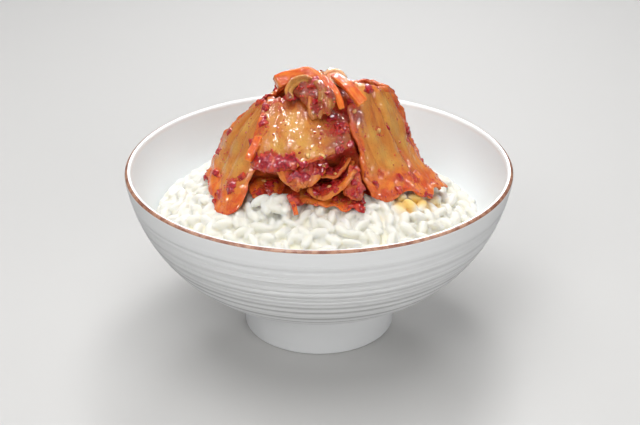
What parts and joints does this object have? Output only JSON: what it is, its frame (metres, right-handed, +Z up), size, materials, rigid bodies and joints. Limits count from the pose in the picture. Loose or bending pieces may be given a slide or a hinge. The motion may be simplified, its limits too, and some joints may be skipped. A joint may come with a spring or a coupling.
{
  "type": "kimchi on rice in a bowl",
  "caption": "Napa cabbage kimchi heaped on a mound of white rice, served in a footed white porcelain bowl with a brown rim line.",
  "frame": {"origin": "middle of the foot ring's underside, on the surface the bowl stands on", "axes": "+Z up, +X to the right and +Y away from the viewer, with the front leaf of the heap facing -Y"},
  "size_m": [0.1198, 0.1198, 0.0878],
  "materials": {
    "porcelain": "gloss",
    "rice": "satin",
    "kimchi_leaf": "gloss",
    "kimchi_red": "gloss",
    "carrot": "gloss"
  },
  "bodies": {
    "root": {"bowl": "porcelain", "rice": "rice", "kimchi_bed": "kimchi_red", "leaf_right": "kimchi_leaf", "leaf_left": "kimchi_leaf", "leaf_front": "kimchi_leaf", "leaf_curl": "kimchi_red", "leaf_tip": "kimchi_leaf", "leaf_crown": "kimchi_leaf", "fold_left": "kimchi_red", "fold_right": "kimchi_red", "fold_inner": "kimchi_red", "fold_side": "kimchi_red", "leaf_base": "kimchi_leaf", "leaf_base_left": "kimchi_leaf", "leaf_back": "kimchi_leaf", "leaf_back_left": "kimchi_leaf", "leaf_back_right": "kimchi_leaf", "carrot_long": "carrot", "carrot_short": "carrot", "carrot_shred": "carrot", "carrot_side": "carrot"}
  },
  "joints": []
}
